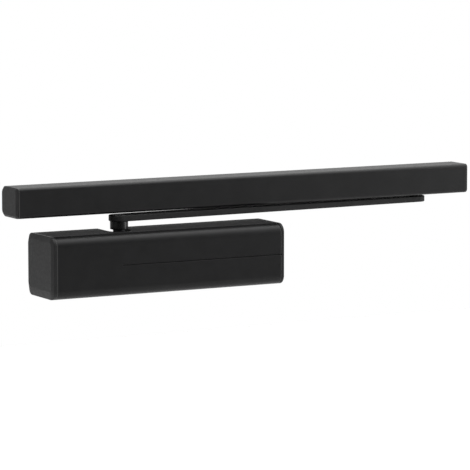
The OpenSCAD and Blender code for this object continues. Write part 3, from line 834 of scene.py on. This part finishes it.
rail_lo, rail_hi = node_box("rail_cover")
rail_cap_lo, rail_cap_hi = node_box("rail_end_cap_left")
track_lo, track_hi = node_box("rail_track")
RAIL_FRONT, RAIL_Z0, RAIL_Z1 = rail_cap_lo.y, rail_cap_lo.z, rail_cap_hi.z
RAIL_FRONT_R, RAIL_LOW_R, RAIL_BACK_R, RAIL_WALL = 3.4, 3.1, 6.0, 1.8
SLOT_HALF, CHANNEL_HALF = 6.5, 12.0          # of the track's slot and of the channel above it
CHANNEL_LOW, CHANNEL_HIGH = 4.3, 17.3        # above the rail's lower edge
CHAMBER = (-4.4, -1.8)                       # y of the hollow behind the channel


def make_rail_cover():
    """The clipped-on shell of the rail, open below and behind."""
    f, z0, z1 = RAIL_FRONT, RAIL_Z0, RAIL_Z1
    lip_y, tail_z = track_lo.y - 0.1, track_hi.z + 0.1
    w = RAIL_WALL

    def section(d):
        points = [(lip_y, z0 + d)]
        points += arc((f + RAIL_LOW_R, z0 + RAIL_LOW_R), RAIL_LOW_R - d, 270, 180, 14)
        points += arc((f + RAIL_FRONT_R, z1 - RAIL_FRONT_R), RAIL_FRONT_R - d, 180, 90)
        points += arc((-RAIL_BACK_R, z1 - RAIL_BACK_R), RAIL_BACK_R - d, 90, 0)
        points += [(-d, tail_z), (-w, tail_z)]
        points += arc((-RAIL_BACK_R, z1 - RAIL_BACK_R), RAIL_BACK_R - w, 0, 90, 10)
        points += arc((f + RAIL_FRONT_R, z1 - RAIL_FRONT_R), RAIL_FRONT_R - w, 90, 180, 8)
        points += arc((f + RAIL_LOW_R, z0 + RAIL_LOW_R), RAIL_LOW_R - w, 180, 270, 8)
        return points + [(lip_y, z0 + w)]

    bm = bmesh.new()
    sweep(bm, rounded_end(section, rail_lo.x, 1)
          + list(reversed(rounded_end(section, rail_hi.x, -1))))
    weigh(finish_mesh(bm, "rail_shell", "rail_cover", sharp=28))


def make_rail_cap(node, side):
    """A thin cap with a rolled edge and a shallow raised face."""
    lo, hi = node_box(node)
    inner, outer = (hi.x, lo.x) if side < 0 else (lo.x, hi.x)

    def outline(inset):
        front, back, bottom, top = inset
        return rounded_box(RAIL_FRONT + front, -back, RAIL_Z0 + bottom, RAIL_Z1 - top,
                           max(RAIL_FRONT_R - top, 1.6), max(RAIL_BACK_R - back, 1.6),
                           max(RAIL_LOW_R + 0.7 - bottom, 1.2))

    rings = cap_rings(outline, abs(outer - inner), 0.25, 1.15, (3.9, 0.7, 1.9, 1.9))
    bm = bmesh.new()
    sweep(bm, [(inner + side * d, pts) for d, pts in rings])
    name = "rail_cap_left" if side < 0 else "rail_cap_right"
    weigh(finish_mesh(bm, name, node, sharp=30))


def make_track():
    """The aluminium extrusion: a C channel with its slot below and a hollow chamber behind."""
    lo, hi = track_lo, track_hi
    mid = RAIL_FRONT / 2
    c0, c1, half, s = RAIL_Z0 + CHANNEL_LOW, RAIL_Z0 + CHANNEL_HIGH, CHANNEL_HALF, SLOT_HALF
    points = arc((-RAIL_BACK_R, RAIL_Z0 + RAIL_BACK_R), RAIL_BACK_R, 299, 360, 10)
    points += [(0, hi.z), (lo.y + 1.0, hi.z), (lo.y, hi.z - 1.0), (lo.y, lo.z + 0.6),
               (lo.y + 0.6, lo.z), (mid - s - 0.5, lo.z), (mid - s, lo.z + 0.5),
               (mid - s, c0), (mid - half, c0), (mid - half, c1), (mid + half, c1),
               (mid + half, c0), (mid + s, c0), (mid + s, lo.z + 0.5), (mid + s + 0.5, lo.z)]
    bm = bmesh.new()
    sweep(bm, [(lo.x, points), (hi.x, points)])
    piece = finish_mesh(bm, "rail_track_profile", "rail_track", sharp=28)
    y0, y1 = CHAMBER
    chamber = [(y0, c0 + 2), (y1, c0 + 2), (y1, c1), (y0, c1)]
    tool = bmesh.new()
    sweep(tool, [(lo.x - 1, chamber), (hi.x + 1, chamber)])
    cut(piece, [tool], 28)
    bevel(piece, 0.2, 50)


# ---------- springs ----------


COIL_SIDES, COIL_STEPS = 14, 48    # corners of the wire's section, sections in a turn


def coil(name, node, wire, turns, part=(0.0, 1.0)):
    """A part of a compression spring wound about X, with end coils closed and ground flat. wire
    is the wire's radius."""
    lo, hi = node_box(node)
    x0, x1 = lo.x, hi.x
    mean, mid_y, mid_z = (hi.z - lo.z) / 2 - wire, (lo.y + hi.y) / 2, (lo.z + hi.z) / 2
    closed, low, high = 1.9 * wire, x0 + 0.55 * wire, x1 - 0.55 * wire
    pitch = (high - low - 2 * closed) / (turns - 2)
    bm = bmesh.new()
    loops = []
    first, last = (round(share * turns * COIL_STEPS) for share in part)
    for i in range(first, last + 1):
        t = i / COIL_STEPS
        x = low + min(t, 1) * closed + min(max(t - 1, 0), turns - 2) * pitch
        x += max(t - turns + 1, 0) * closed
        a = 2 * math.pi * t
        ring = []
        for j in range(COIL_SIDES):
            b = 2 * math.pi * (j + 0.5) / COIL_SIDES
            r = mean + wire * math.cos(b)
            ring.append(bm.verts.new((min(max(x + wire * math.sin(b), x0), x1),
                                      mid_y + r * math.cos(a), mid_z + r * math.sin(a))))
        loops.append(ring)
    skin_solid(bm, loops)
    return finish_mesh(bm, name, node, sharp=40)


def make_springs():
    """The closing spring in two halves, each on a mesh of its own; the return spring is let go of
    its body, with its place baked into the mesh."""
    for name, part, joint in (("closing_spring_a", (0.0, 0.5), "drive_piston_slide"),
                              ("closing_spring_b", (0.5, 1.0), "spring_plate_slide")):
        piece = coil(name, "main_spring", 3.2, 7.5, part)
        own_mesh(piece)
    piece = coil("piston_return_spring", "return_spring", 0.8, 5)
    piece.parent = None
    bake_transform(piece)


def refine(node, name, width):
    """The CAD solid again with its edges broken: flat faces joined, then a fine bevel."""
    bm = bmesh.new()
    bm.from_mesh(frame["nodes"][node].data)
    bmesh.ops.scale(bm, vec=(1 / MM, 1 / MM, 1 / MM), verts=bm.verts)
    bmesh.ops.remove_doubles(bm, verts=bm.verts, dist=SAME_POINT)
    bmesh.ops.dissolve_limit(bm, angle_limit=math.radians(0.6), verts=bm.verts, edges=bm.edges)
    bevel(finish_mesh(bm, name, node, sharp=35), width, 35)


# CAD node: name of the piece, width of its bevel
REFINED = {
    "housing": ("cast_housing", 0.8),
    "plate_screws": ("housing_screws", 0.2),
    "upper_bearing_carrier": ("top_carrier", 0.3),
    "lower_bearing_carrier": ("bottom_carrier", 0.3),
    "damping_end_plug": ("plug_left", 0.4),
    "spring_end_plug": ("plug_right", 0.4),
    "cam_spindle": ("spindle_forging", 0.3),
    "arm_screw": ("arm_head_screw", 0.3),
    "drive_piston": ("spring_side_piston", 0.4),
    "damping_piston": ("oil_side_piston", 0.4),
    "spring_plate": ("spring_seat", 0.3),
    "adjusting_screw": ("force_screw", 0.4),
    "slide_block": ("rail_slider", 0.5),
    "rail_bracket_left": ("bracket_left", 0.4),
    "rail_bracket_right": ("bracket_right", 0.4),
    "rail_buffers": ("slider_stops", 0.5),
}


make_camera()
make_world()
make_floor()
area_light("softbox", (1.35, -0.75, 0.35), (0.1, -0.03, 0.04), (0.5, 1.1), 9)
make_cover()
make_end_cap("end_cap_left", -1)
make_end_cap("end_cap_right", 1)
make_mounting_plate()
make_arm()
make_sleeve()
make_pivot_pin()
make_rail_cover()
make_rail_cap("rail_end_cap_left", -1)
make_rail_cap("rail_end_cap_right", 1)
make_track()
make_springs()
for refined_node, (piece_name, edge_mm) in REFINED.items():
    refine(refined_node, piece_name, edge_mm)

bpy.context.scene.view_settings.view_transform = "Standard"
bpy.context.scene.view_settings.look = "None"
